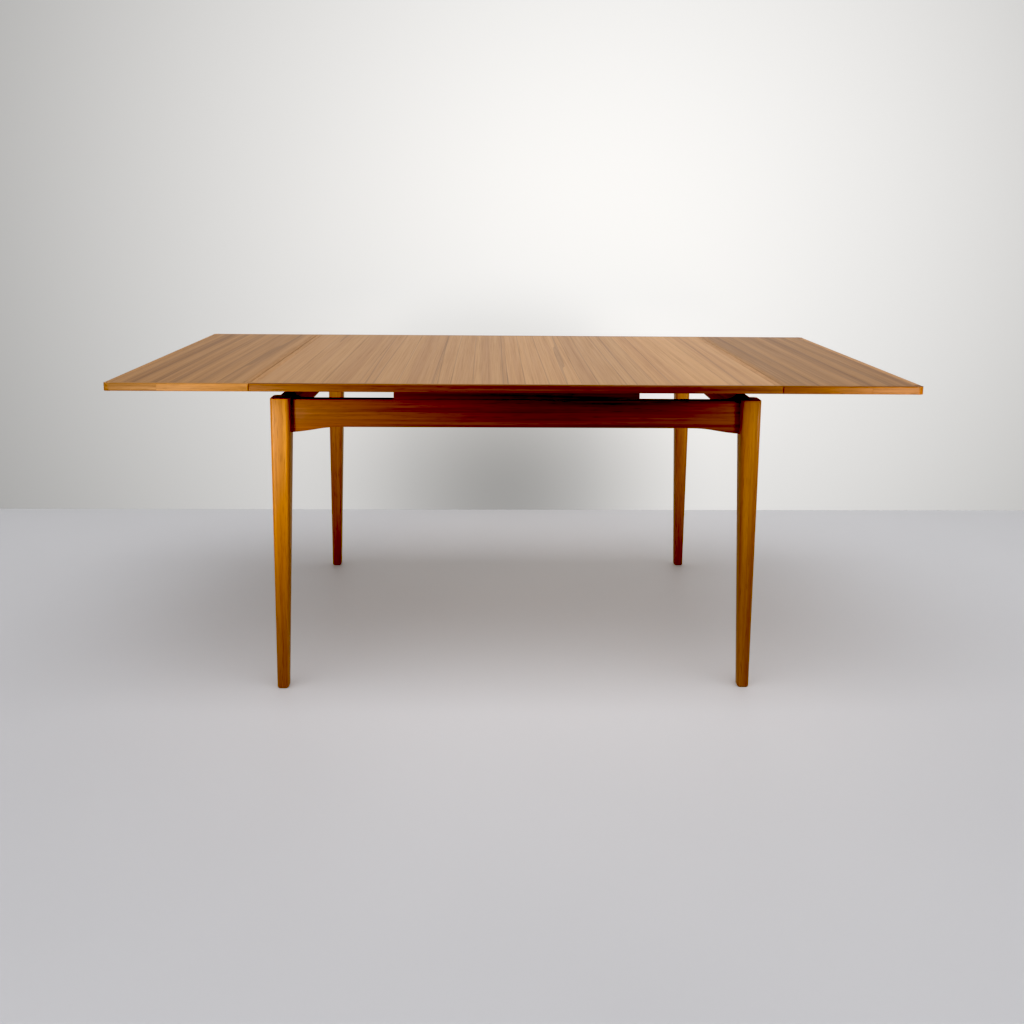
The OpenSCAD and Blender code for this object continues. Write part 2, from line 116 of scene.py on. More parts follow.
@dataclass(frozen=True)
class Finish:
    """What every finish shares. Sizes are in millimetres.

    Attributes:
        name: The material and how its surface was made.
    """

    name: str

    def material(self) -> bpy.types.Material:
        """Makes the material, or finds it if it was made before.

        Returns:
            The material, with its nodes.
        """
        made = bpy.data.materials.get(self.name)
        if made is None:
            made = bpy.data.materials.new(self.name)
            made.use_nodes = True
            tree = made.node_tree
            self.paint(tree, tree.nodes["Principled BSDF"])
        return made

    def paint(self, tree: bpy.types.NodeTree, shader: bpy.types.Node) -> None:
        """Adds the finish's own nodes; each finish says how.

        Args:
            tree: The material's node tree.
            shader: Its Principled BSDF.
        """
        raise NotImplementedError

    def dress(self, *pieces: bpy.types.Object) -> None:
        """Gives the finish to pieces.

        Args:
            *pieces: New pieces or CAD nodes.
        """
        for piece in pieces:
            piece.data.materials.clear()
            piece.data.materials.append(self.material())


def grain_scale(axis: Axis, across: float, along: float) -> tuple[float, float, float]:
    """Works out how a pattern is scaled so that it runs with the grain.

    Args:
        axis: The way the grain runs.
        across: Size of one feature across the grain, in millimetres.
        along: Its size along the grain.

    Returns:
        Features per metre along X, Y and Z.
    """
    sizes = [across, across, across]
    sizes[axis.value] = along
    return 1 / (sizes[0] * MM), 1 / (sizes[1] * MM), 1 / (sizes[2] * MM)


@dataclass(frozen=True)
class Surface:
    """How a piece of wood takes the light.

    Attributes:
        roughness: Roughness between the pores.
        smoother: How much smoother it is where the fibre is densest.
        rougher: How much rougher it is where the pores are widest.
        sheen: Strength of the reflection; thin oil gives less than a film of lacquer.
        relief: Depth of the pores in millimetres.
        relief_share: How strongly the pores show as relief.
    """

    roughness: float
    smoother: float
    rougher: float
    sheen: float
    relief: float
    relief_share: float

    def lay(
        self,
        tree: bpy.types.NodeTree,
        shader: bpy.types.Node,
        colour: bpy.types.NodeSocket,
        fibre: bpy.types.NodeSocket,
    ) -> None:
        """Links a wood's colour and its pores to the shader.

        Args:
            tree: The material's node tree.
            shader: Its Principled BSDF.
            colour: The colour of the wood.
            fibre: The fibre streaks, from 0 to 1.
        """
        gloss = add(tree, "ShaderNodeMapRange",
                    {"Value": fibre, "To Min": self.roughness - self.smoother,
                     "To Max": self.roughness + self.rougher})
        bump = add(tree, "ShaderNodeBump",
                   {"Height": fibre, "Strength": self.relief_share, "Distance": self.relief * MM},
                   invert=True)
        shader.inputs["Specular IOR Level"].default_value = self.sheen
        tree.links.new(colour, shader.inputs["Base Color"])
        tree.links.new(gloss.outputs[0], shader.inputs["Roughness"])
        tree.links.new(bump.outputs[0], shader.inputs["Normal"])


@dataclass(frozen=True)
class SolidWood(Finish):
    """Solid timber, planed, sanded and oiled: bands of colour and open pores that run with the grain.

    Attributes:
        pale: Colour of the earlywood.
        deep: Colour of the latewood.
        pore: Colour of the pores.
        axis: The way the grain runs.
        band: Width of a band of colour.
        band_length: How far a band runs before it changes.
        fibre: Width of a fibre streak; the real pores are finer, and this is the least that shows.
        fibre_length: Length of a fibre streak.
        pore_share: How strongly the pores darken the wood.
        roughness: Roughness between the pores.
        sheen: Strength of the reflection; thin oil gives less than a film of lacquer.
        relief: Depth of the pores.
        variety: How much the pieces cut from it differ in tone.
    """

    pale: str
    deep: str
    pore: str
    axis: Axis
    band: float = 9.0
    band_length: float = 520.0
    fibre: float = 1.4
    fibre_length: float = 38.0
    pore_share: float = 0.45
    roughness: float = 0.42
    sheen: float = 0.4
    relief: float = 0.12
    variety: float = 0.1

    def paint(self, tree: bpy.types.NodeTree, shader: bpy.types.Node) -> None:
        """Bands, fibres and pores on object coordinates, set off a little on each piece.

        Args:
            tree: The material's node tree.
            shader: Its Principled BSDF.
        """
        piece = add(tree, "ShaderNodeObjectInfo").outputs["Random"]
        object_place = add(tree, "ShaderNodeTexCoord").outputs["Object"]
        place = add(tree, "ShaderNodeVectorMath", {0: object_place, 1: piece},
                    operation="ADD").outputs[0]
        bands = add(tree, "ShaderNodeMapping",
                    {"Vector": place, "Scale": grain_scale(self.axis, self.band, self.band_length)})
        band = add(tree, "ShaderNodeTexNoise",
                   {"Vector": bands.outputs[0], "Scale": 1.0, "Detail": 3.0, "Roughness": 0.55})
        fibres = add(tree, "ShaderNodeMapping",
                     {"Vector": place, "Scale": grain_scale(self.axis, self.fibre, self.fibre_length)})
        fibre = add(tree, "ShaderNodeTexNoise",
                    {"Vector": fibres.outputs[0], "Scale": 1.0, "Detail": 2.0, "Roughness": 0.6})
        tone = add(tree, "ShaderNodeMapRange",
                   {"Value": band.outputs[0], "From Min": 0.32, "From Max": 0.68})
        wood = add(tree, "ShaderNodeMix", {0: tone.outputs[0], 6: linear(self.pale), 7: linear(self.deep)},
                   data_type="RGBA")
        pores = add(tree, "ShaderNodeMapRange",
                    {"Value": fibre.outputs[0], "From Min": 0.54, "From Max": 0.74,
                     "To Max": self.pore_share})
        whole = add(tree, "ShaderNodeMix", {0: pores.outputs[0], 6: wood.outputs[2], 7: linear(self.pore)},
                    data_type="RGBA")
        change = add(tree, "ShaderNodeMapRange",
                     {"Value": piece, "To Min": 1 - self.variety, "To Max": 1 + self.variety})
        toned = add(tree, "ShaderNodeHueSaturation",
                    {"Value": change.outputs[0], "Color": whole.outputs[2]})
        Surface(self.roughness, 0.06, 0.14, self.sheen, self.relief, 0.35).lay(
            tree, shader, toned.outputs[0], fibre.outputs[0])


@dataclass(frozen=True)
class StripedVeneer(Finish):
    """Sliced teak veneer, slip-matched in leaves that run from front to back, and oiled to a satin sheen.

    Attributes:
        pale: Colour between the stripes.
        deep: Colour of the stripes.
        dark: Colour of the dark growth lines, the pores and the joints.
        leaf: Width of one leaf of veneer.
        first_joint: Where one joint between leaves falls, from the middle of the table.
        stripe: Width of a stripe.
        figure: How far a stripe runs before it changes.
        line: Width of a dark growth line.
        fibre: Width of a fibre streak; the real pores are finer, and this is the least that shows.
        fibre_length: Length of a fibre streak.
        joint: Width of the dark line at a joint.
        drift: How far a stripe wanders sideways.
        tone: How much the leaves differ in tone.
        roughness: Roughness between the pores.
        sheen: Strength of the reflection.
        relief: Depth of the pores.
        line_half: Half the share of the noise's range that a growth line takes up.
        line_share: How strongly a growth line darkens the wood.
        pore_share: How strongly the pores darken it.
        joint_share: How strongly a joint darkens it.
    """

    pale: str
    deep: str
    dark: str
    leaf: float
    first_joint: float
    stripe: float = 24.0
    figure: float = 3600.0
    line: float = 52.0
    fibre: float = 2.0
    fibre_length: float = 260.0
    joint: float = 1.2
    drift: float = 22.0
    tone: float = 0.12
    roughness: float = 0.4
    sheen: float = 0.42
    relief: float = 0.06
    line_half: float = 0.012
    line_share: float = 0.3
    pore_share: float = 0.24
    joint_share: float = 0.45

    def paint(self, tree: bpy.types.NodeTree, shader: bpy.types.Node) -> None:
        """Leaves of veneer across X, each with the same stripes a little changed.

        Args:
            tree: The material's node tree.
            shader: Its Principled BSDF.
        """
        place = add(tree, "ShaderNodeTexCoord").outputs["Object"]
        axes = add(tree, "ShaderNodeSeparateXYZ", {0: place})
        drift = add(tree, "ShaderNodeTexNoise", {"Vector": place, "Scale": 0.9, "Detail": 0.0})
        across = add(tree, "ShaderNodeMath",
                     {0: axes.outputs["X"], 1: 1 / (self.leaf * MM), 2: -self.first_joint / self.leaf},
                     operation="MULTIPLY_ADD")
        number = add(tree, "ShaderNodeMath", {0: across.outputs[0]}, operation="FLOOR")
        within = add(tree, "ShaderNodeMath", {0: across.outputs[0]}, operation="FRACT")
        bent = add(tree, "ShaderNodeMath",
                   {0: drift.outputs[0], 1: self.drift / self.leaf, 2: within.outputs[0]},
                   operation="MULTIPLY_ADD")
        slipped = add(tree, "ShaderNodeCombineXYZ",
                      {"X": bent.outputs[0], "Y": axes.outputs["Y"], "Z": number.outputs[0]})
        stripes = add(tree, "ShaderNodeVectorMath",
                      {0: slipped.outputs[0], 1: (self.leaf / self.stripe, 1 / (self.figure * MM), 0.21)},
                      operation="MULTIPLY")
        stripe = add(tree, "ShaderNodeTexNoise",
                     {"Vector": stripes.outputs[0], "Scale": 1.0, "Detail": 4.0, "Roughness": 0.62})
        lines = add(tree, "ShaderNodeVectorMath",
                    {0: slipped.outputs[0], 1: (self.leaf / self.line, 1 / (2 * self.figure * MM), 0.13)},
                    operation="MULTIPLY")
        line = add(tree, "ShaderNodeTexNoise",
                   {"Vector": lines.outputs[0], "Scale": 1.0, "Detail": 0.0})
        near_line = add(tree, "ShaderNodeMath", {0: line.outputs[0], 1: 0.5, 2: self.line_half},
                        operation="COMPARE")
        fibres = add(tree, "ShaderNodeMapping",
                     {"Vector": place, "Scale": grain_scale(Axis.Y, self.fibre, self.fibre_length)})
        fibre = add(tree, "ShaderNodeTexNoise",
                    {"Vector": fibres.outputs[0], "Scale": 1.0, "Detail": 2.0, "Roughness": 0.6})
        leaf_tone = add(tree, "ShaderNodeTexWhiteNoise", {"W": number.outputs[0]}, noise_dimensions="1D")
        at_joint = add(tree, "ShaderNodeMath", {0: within.outputs[0], 1: self.joint / self.leaf},
                       operation="LESS_THAN")
        share = add(tree, "ShaderNodeMapRange",
                    {"Value": stripe.outputs[0], "From Min": 0.3, "From Max": 0.7})
        wood = add(tree, "ShaderNodeMix", {0: share.outputs[0], 6: linear(self.pale), 7: linear(self.deep)},
                   data_type="RGBA")
        pores = add(tree, "ShaderNodeMapRange",
                    {"Value": fibre.outputs[0], "From Min": 0.5, "From Max": 0.75,
                     "To Max": self.pore_share})
        marks = add(tree, "ShaderNodeMath",
                    {0: near_line.outputs[0], 1: self.line_share, 2: pores.outputs[0]},
                    operation="MULTIPLY_ADD")
        joints = add(tree, "ShaderNodeMath",
                     {0: at_joint.outputs[0], 1: self.joint_share, 2: marks.outputs[0]},
                     operation="MULTIPLY_ADD", use_clamp=True)
        marked = add(tree, "ShaderNodeMix",
                     {0: joints.outputs[0], 6: wood.outputs[2], 7: linear(self.dark)},
                     data_type="RGBA")
        value = add(tree, "ShaderNodeMapRange",
                    {"Value": leaf_tone.outputs[0], "To Min": 1 - self.tone, "To Max": 1 + self.tone / 2})
        toned = add(tree, "ShaderNodeHueSaturation",
                    {"Value": value.outputs[0], "Color": marked.outputs[2]})
        Surface(self.roughness, 0.05, 0.12, self.sheen, self.relief, 0.25).lay(
            tree, shader, toned.outputs[0], fibre.outputs[0])


@dataclass(frozen=True)
class PlatedSteel(Finish):
    """Zinc-plated steel, turned: bright, faintly brushed and a little uneven.

    Attributes:
        bright: Colour of the plating.
        dull: Colour where the plating has dulled.
        speck: Size of the dull spots.
        unevenness: Height of the plating's unevenness.
    """

    bright: str = "#c4c6c8"
    dull: str = "#8d8f90"
    speck: float = 1.5
    unevenness: float = 0.02

    def paint(self, tree: bpy.types.NodeTree, shader: bpy.types.Node) -> None:
        """Dull spots on bright metal.

        Args:
            tree: The material's node tree.
            shader: Its Principled BSDF.
        """
        place = add(tree, "ShaderNodeTexCoord").outputs["Object"]
        spot = add(tree, "ShaderNodeTexNoise",
                   {"Vector": place, "Scale": 1 / (self.speck * MM), "Detail": 3.0})
        colour = add(tree, "ShaderNodeMix",
                     {0: spot.outputs[0], 6: linear(self.bright), 7: linear(self.dull)},
                     data_type="RGBA")
        gloss = add(tree, "ShaderNodeMapRange", {"Value": spot.outputs[0], "To Min": 0.24, "To Max": 0.5})
        bump = add(tree, "ShaderNodeBump",
                   {"Height": spot.outputs[0], "Strength": 0.2, "Distance": self.unevenness * MM})
        shader.inputs["Metallic"].default_value = 1.0
        tree.links.new(colour.outputs[2], shader.inputs["Base Color"])
        tree.links.new(gloss.outputs[0], shader.inputs["Roughness"])
        tree.links.new(bump.outputs[0], shader.inputs["Normal"])


@dataclass(frozen=True)
class OneWayPaint(Finish):
    """Matt paint for the stage, rolled on: opaque from the front and clear from behind.

    Attributes:
        colour: Colour of the paint.
        shade: A slightly darker tone for its cloudiness.
        roughness: How matt it is.
        cloud: Size of its clouds.
        glow: Colour of the painted light that it gives off: the paint glows, though it is no lamp.
        painted_glow_at: Where that light is strongest, in metres.
        painted_glow_reach: How far from there it has faded, in metres.
        painted_glow_strength: How strong it is there.
        painted_glow_least: How strong it still is everywhere else.
        painted_shadow_at: The middle of a patch of painted shadow, where the table would keep light off, in
            metres.
        painted_shadow_reach: How far from there the painted shadow reaches, in metres.
        painted_shadow_least: The share of the painted light that is left in its middle.
    """

    colour: str
    shade: str
    roughness: float
    cloud: float = 700.0
    glow: str = "#ffffff"
    painted_glow_at: tuple[float, float, float] = (0.0, 0.0, 0.0)
    painted_glow_reach: float = 1.0
    painted_glow_strength: float = 0.0
    painted_glow_least: float = 0.0
    painted_shadow_at: tuple[float, float, float] = (0.0, 0.0, 0.0)
    painted_shadow_reach: float = 1.0
    painted_shadow_least: float = 0.45

    def paint(self, tree: bpy.types.NodeTree, shader: bpy.types.Node) -> None:
        """Soft clouds on a matt ground, with painted light that fades outwards, dimmed by a patch of
        painted shadow.

        Args:
            tree: The material's node tree.
            shader: Its Principled BSDF.
        """
        place = add(tree, "ShaderNodeTexCoord").outputs["Object"]
        cloud = add(tree, "ShaderNodeTexNoise",
                    {"Vector": place, "Scale": 1 / (self.cloud * MM), "Detail": 2.0})
        colour = add(tree, "ShaderNodeMix",
                     {0: cloud.outputs[0], 6: linear(self.colour), 7: linear(self.shade)},
                     data_type="RGBA")
        shader.inputs["Roughness"].default_value = self.roughness
        tree.links.new(colour.outputs[2], shader.inputs["Base Color"])
        # Painted light: the paint gives off light that fades outwards, multiplied by a patch of painted
        # shadow
        if self.painted_glow_strength > 0:
            fades = []
            for centre, reach, there, far in (
                (self.painted_glow_at, self.painted_glow_reach, self.painted_glow_strength, self.painted_glow_least),
                (self.painted_shadow_at, self.painted_shadow_reach, self.painted_shadow_least, 1.0),
            ):
                off = add(tree, "ShaderNodeVectorMath", {0: place, 1: centre}, operation="DISTANCE")
                fade = add(tree, "ShaderNodeMapRange",
                           {"Value": off.outputs["Value"], "From Max": reach, "To Min": there,
                            "To Max": far}, interpolation_type="SMOOTHSTEP")
                fades.append(fade.outputs[0])
            left = add(tree, "ShaderNodeMath", dict(enumerate(fades)), operation="MULTIPLY")
            shader.inputs["Emission Color"].default_value = linear(self.glow)
            tree.links.new(left.outputs[0], shader.inputs["Emission Strength"])
        side = add(tree, "ShaderNodeNewGeometry")
        clear = add(tree, "ShaderNodeBsdfTransparent")
        either = add(tree, "ShaderNodeMixShader",
                     {0: side.outputs["Backfacing"], 1: shader.outputs[0], 2: clear.outputs[0]})
        tree.links.new(either.outputs[0], tree.nodes["Material Output"].inputs["Surface"])


def solid_teak(name: str, axis: Axis, pale: str, deep: str, **changes: float) -> SolidWood:
    """Oiled solid teak, golden to brown, with dark pores.

    Args:
        name: Name of the finish.
        axis: The way the grain runs.
        pale: Colour of the earlywood.
        deep: Colour of the latewood.
        **changes: Any other size of the finish.

    Returns:
        The finish.
    """
    return SolidWood(name, pale, deep, "#3a1606", axis, **changes)


class Stock:
    """The timber, veneer and metal that the table is made of."""

    # Teak, planed and oiled: gold where light falls on it, with fine dark pores along each leg
    leg = solid_teak("teak_oiled_leg", Axis.Z, "#b57c30", "#9a6224")
    # The same timber in the aprons, from browner boards
    long_apron = solid_teak("teak_oiled_long_apron", Axis.X, "#9c602c", "#73421b")
    end_apron = solid_teak("teak_oiled_end_apron", Axis.Y, "#9c602c", "#73421b", roughness=0.6, sheen=0.2)
    # Teak lippings, planed flush with the veneer: plain straight grain. The left leaf's are paler, as
    # painted light: this stands in for the brighter light and its reflection on the left
    long_lipping = solid_teak("teak_oiled_long_lipping", Axis.X, "#9a652c", "#78481c", band=6.0, sheen=0.2)
    left_lipping = solid_teak("teak_oiled_left_lipping", Axis.X, "#b3824e", "#966a38", band=6.0, sheen=0.25)
    end_lipping = solid_teak("teak_oiled_end_lipping", Axis.Y, "#b58350", "#9c7041", band=6.0, sheen=0.3)
    # Face veneer, sliced teak with straight stripes: pale brown under a satin sheen
    top_face = StripedVeneer("teak_sliced_veneer_top", "#c2925d", "#ab7a49", "#4f2c14", 168.0, -22.0)
    left_face = StripedVeneer("teak_sliced_veneer_left", "#b68652", "#865c33", "#3c1f0c", 210.0, -810.0,
                               stripe=30.0, tone=0.04, sheen=0.34)
    right_face = StripedVeneer("teak_sliced_veneer_right", "#b38450", "#845a32", "#3c1f0c", 210.0, 861.0,
                                stripe=30.0, tone=0.04, sheen=0.3)
    # Backing veneer, a plainer cut, oiled thinly
    backing = StripedVeneer("teak_sliced_veneer_back", "#94602f", "#784720", "#3d200e", 190.0, 40.0,
                            roughness=0.5)
    # Centre board: teak-faced board in the gap under the top
    board = solid_teak("teak_oiled_board", Axis.X, "#87522a", "#65391a", roughness=0.5)
    # Blockboard core: strips of softwood under the veneers
    core = SolidWood("blockboard_sawn", "#d9b987", "#c09a66", "#8a6334", Axis.Y, roughness=0.7)
    # Beech, planed and left plain: pale pink-brown with short fine flecks
    beech_x = SolidWood("beech_planed_x", "#d2a878", "#bd8f5e", "#8f6238", Axis.X,
                        band=14.0, fibre=1.0, fibre_length=6.0, pore_share=0.35, roughness=0.55)
    beech_y = SolidWood("beech_planed_y", "#d2a878", "#bd8f5e", "#8f6238", Axis.Y,
                        band=14.0, fibre=1.0, fibre_length=6.0, pore_share=0.35, roughness=0.55)
    beech_z = SolidWood("beech_turned_z", "#d2a878", "#bd8f5e", "#8f6238", Axis.Z,
                        band=14.0, fibre=1.0, fibre_length=6.0, pore_share=0.35, roughness=0.5)
    # Zinc-plated steel wood screws
    screw = PlatedSteel("steel_zinc_plated")


# ---- Modelling ----


class Bench:
    """Shapes pieces in edit mode, as by hand. Each call leaves its piece in object mode."""

    @staticmethod
    def clear() -> None:
        """Deselects every object."""
        bpy.ops.object.select_all(action="DESELECT")

    @staticmethod
    def open(piece: bpy.types.Object) -> None:
        """Opens one piece alone in edit mode, with nothing in it selected.

        Args:
            piece: The piece.
        """
        Bench.clear()
        piece.select_set(True)
        bpy.context.view_layer.objects.active = piece
        bpy.ops.object.mode_set(mode="EDIT")
        bpy.ops.mesh.select_all(action="DESELECT")

    @staticmethod
    def close() -> None:
        """Goes back to object mode."""
        bpy.ops.object.mode_set(mode="OBJECT")

    @staticmethod
    def block(name: str, low: Vector, high: Vector) -> bpy.types.Object:
        """Adds a sawn block at its size and place, as a start for a piece.

        Args:
            name: Name of the piece.
            low: Its lowest corner.
            high: Its highest corner.

        Returns:
            The block, with its object at the origin.
        """
        Bench.clear()
        low, high = Vector(map(min, low, high)), Vector(map(max, low, high))
        bpy.ops.mesh.primitive_cube_add(size=1.0, location=(low + high) / 2, scale=high - low)
        piece = bpy.context.object
        piece.name = piece.data.name = name
        bpy.ops.object.transform_apply(location=True, rotation=True, scale=True)
        return piece

    @staticmethod
    def pick(piece: bpy.types.Object, mode: str, *tests: Test) -> None:
        """Opens a piece and selects the parts of it whose every corner passes one of the tests.

        Args:
            piece: The piece.
            mode: VERT, EDGE or FACE.
            *tests: Each takes a corner's place.
        """
        Bench.open(piece)
        bpy.ops.mesh.select_mode(type=mode)
        Bench.close()
        mesh = piece.data
        parts = {"VERT": mesh.vertices, "EDGE": mesh.edges, "FACE": mesh.polygons}[mode]
        for test in tests:
            good = [test(v.co) for v in mesh.vertices]
            for part in parts:
                corners = [part.index] if mode == "VERT" else part.vertices
                part.select = part.select or all(good[i] for i in corners)
        bpy.ops.object.mode_set(mode="EDIT")

    @staticmethod
    def at(**place: float) -> Test:
        """Makes a test for corners that lie at given coordinates.

        Args:
            **place: Any of x, y and z.

        Returns:
            The test.
        """
        return lambda p: all(abs(getattr(p, axis) - value) < NEAR for axis, value in place.items())

    @staticmethod
    def cut(piece: bpy.types.Object, axis: Axis, place: float) -> None:
        """Scores a piece all round on a plane across an axis.

        Args:
            piece: The piece.
            axis: The axis that the plane is square to.
            place: Where the plane crosses it.
        """
        point, normal = Vector((0, 0, 0)), Vector((0, 0, 0))
        point[axis.value], normal[axis.value] = place, 1.0
        Bench.open(piece)
        bpy.ops.mesh.select_all(action="SELECT")
        bpy.ops.mesh.bisect(plane_co=point, plane_no=normal, threshold=NEAR / 10)
        Bench.close()

    @staticmethod
    def slide(piece: bpy.types.Object, test: Test, step: tuple[float, float, float]) -> None:
        """Moves the corners that pass a test.

        Args:
            piece: The piece.
            test: Takes a corner's place.
            step: How far they move.
        """
        Bench.pick(piece, "VERT", test)
        bpy.ops.transform.translate(value=step)
        Bench.close()

    @staticmethod
    def pull(piece: bpy.types.Object, test: Test, step: tuple[float, float, float]) -> None:
        """Extrudes the faces whose every corner passes a test.

        Args:
            piece: The piece.
            test: Takes a corner's place.
            step: How far they are pulled out.
        """
        Bench.pick(piece, "FACE", test)
        bpy.ops.mesh.extrude_region_move(TRANSFORM_OT_translate={"value": step})
        Bench.close()

    @staticmethod
    def round_over(piece: bpy.types.Object, radius: float, segments: int, *tests: Test) -> None:
        """Rounds the edges whose both ends pass one of the tests.

        Args:
            piece: The piece.
            radius: Radius of the rounding.
            segments: Flats that make it up.
            *tests: Each takes a corner's place.
        """
        Bench.pick(piece, "EDGE", *tests)
        bpy.ops.mesh.bevel(offset=radius, offset_type="OFFSET", segments=segments, profile=0.5,
                           clamp_overlap=False)
        Bench.close()

    @staticmethod
    def break_edges(piece: bpy.types.Object, radius: float, segments: int, angle: float) -> None:
        """Takes the sharpness off every edge that turns by more than an angle.

        Args:
            piece: The piece.
            radius: Radius of the softened edge.
            segments: Flats that make it up.
            angle: Least turn of an edge that is softened, in degrees.
        """
        Bench.open(piece)
        bpy.ops.mesh.select_mode(type="EDGE")
        bpy.ops.mesh.edges_select_sharp(sharpness=math.radians(angle))
        bpy.ops.mesh.bevel(offset=radius, offset_type="OFFSET", segments=segments, profile=0.5,
                           clamp_overlap=True)
        Bench.close()

    @staticmethod
    def carve(piece: bpy.types.Object, cutter: bpy.types.Object) -> None:
        """Takes one shape out of a piece, and throws the cutter away.

        Args:
            piece: The piece.
            cutter: What is taken out of it.
        """
        Bench.clear()
        piece.select_set(True)
        bpy.context.view_layer.objects.active = piece
        modifier = piece.modifiers.new("notch", "BOOLEAN")
        modifier.operation = "DIFFERENCE"
        modifier.solver = "EXACT"
        modifier.object = cutter
        bpy.ops.object.modifier_apply(modifier=modifier.name)
        bpy.data.objects.remove(cutter)

    @staticmethod
    def sand(piece: bpy.types.Object, angle: float = 35.0) -> None:
        """Merges doubles, turns every face outwards and shades the rounded edges smooth.

        Args:
            piece: The piece.
            angle: Edges that turn by more than this stay crisp, in degrees.
        """
        Bench.open(piece)
        bpy.ops.mesh.select_all(action="SELECT")
        bpy.ops.mesh.remove_doubles(threshold=NEAR / 10)
        bpy.ops.mesh.normals_make_consistent(inside=False)
        bpy.ops.mesh.select_all(action="DESELECT")
        Bench.close()
        bpy.ops.object.shade_smooth_by_angle(angle=math.radians(angle))


def fit(piece: bpy.types.Object, body: str, node: str, finish: Finish) -> None:
    """Fits a finished piece to the frame in place of a CAD node.

    Args:
        piece: The piece.
        body: The body that it rides on.
        node: The CAD node that it stands for.
        finish: Its finish.
    """
    finish.dress(piece)
    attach(piece, body)
    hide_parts(node)
    log.info("%s stands for %s", piece.name, node)


# ---- Sub-assemblies ----


@dataclass(frozen=True)
class Legs:
    """Four legs, square at the head and tapered on their two inner faces. Sizes are in metres.

    Attributes:
        foot: Side of a leg at the floor.
        head: Length of the parallel stretch at the head.
        arris: Radius of the upright arrises.
        toe: Rounding at the foot.
        crown: Rounding at the top.
    """

    foot: float = 27 * MM
    head: float = 85 * MM
    arris: float = 8 * MM
    toe: float = 4 * MM
    crown: float = 2 * MM

    def build(self) -> None:
        """Makes the four legs."""
        for depth in ("front", "back"):
            for hand in ("left", "right"):
                self.leg(depth, hand)

    def leg(self, depth: str, hand: str) -> None:
        """Makes one leg.

        Args:
            depth: front or back.
            hand: left or right.
        """
        node = f"{depth}_{hand}_leg"
        low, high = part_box(node)
        leg = Bench.block(f"leg_{depth}_{hand}", low, high)
        Bench.cut(leg, Axis.Z, high.z - self.head)
        taper_x, taper_y = high.x - low.x - self.foot, high.y - low.y - self.foot
        inner_x, step_x = (high.x, -taper_x) if hand == "left" else (low.x, taper_x)
        inner_y, step_y = (high.y, -taper_y) if depth == "front" else (low.y, taper_y)
        Bench.slide(leg, lambda p: p.z < low.z + NEAR and abs(p.x - inner_x) < NEAR, (step_x, 0, 0))
        Bench.slide(leg, lambda p: p.z < low.z + NEAR and abs(p.y - inner_y) < NEAR, (0, step_y, 0))
        self.round_uprights(leg)
        Bench.round_over(leg, self.toe, 4, lambda p: p.z < low.z + NEAR)
        Bench.round_over(leg, self.crown, 3, lambda p: p.z > high.z - NEAR)
        Bench.sand(leg)
        fit(leg, "frame", node, Stock.leg)

    def round_uprights(self, leg: bpy.types.Object) -> None:
        """Rounds the four upright arrises from top to toe.

        Args:
            leg: The leg.
        """
        Bench.open(leg)
        bpy.ops.mesh.select_mode(type="EDGE")
        Bench.close()
        points = leg.data.vertices
        for edge in leg.data.edges:
            a, b = (points[i].co for i in edge.vertices)
            edge.select = abs(a.z - b.z) > self.arris
        bpy.ops.object.mode_set(mode="EDIT")
        bpy.ops.mesh.bevel(offset=self.arris, offset_type="OFFSET", segments=8, profile=0.5,
                           clamp_overlap=False)
        Bench.close()


@dataclass(frozen=True)
class Sweep:
    """The curve that deepens an apron towards its legs: a round-over that runs into a hollow.

    Attributes:
        length: Its length along the apron.
        radius: Radius of the round-over.
        steep: Steepest angle, in degrees.
        end: Angle where it meets the leg, in degrees.
        steps: Flats that make it up.
    """

    length: float = 112 * MM
    radius: float = 300 * MM
    steep: float = 10.5
    end: float = 4.5
    steps: int = 16

    def drop(self, x: float) -> float:
        """Works out how far the lower edge has dropped.

        Args:
            x: Distance from where the sweep starts.

        Returns:
            The drop at that place.
        """
        steep, end = math.radians(self.steep), math.radians(self.end)
        turn = self.radius * math.sin(steep)
        if x <= turn:
            return self.radius - math.sqrt(self.radius**2 - x**2)
        hollow = (self.length - turn) / (math.sin(steep) - math.sin(end))
        centre = turn + hollow * math.sin(steep)
        rise = self.radius * (math.cos(steep) - 1) + hollow * math.cos(steep)
        return math.sqrt(hollow**2 - (centre - x) ** 2) - rise


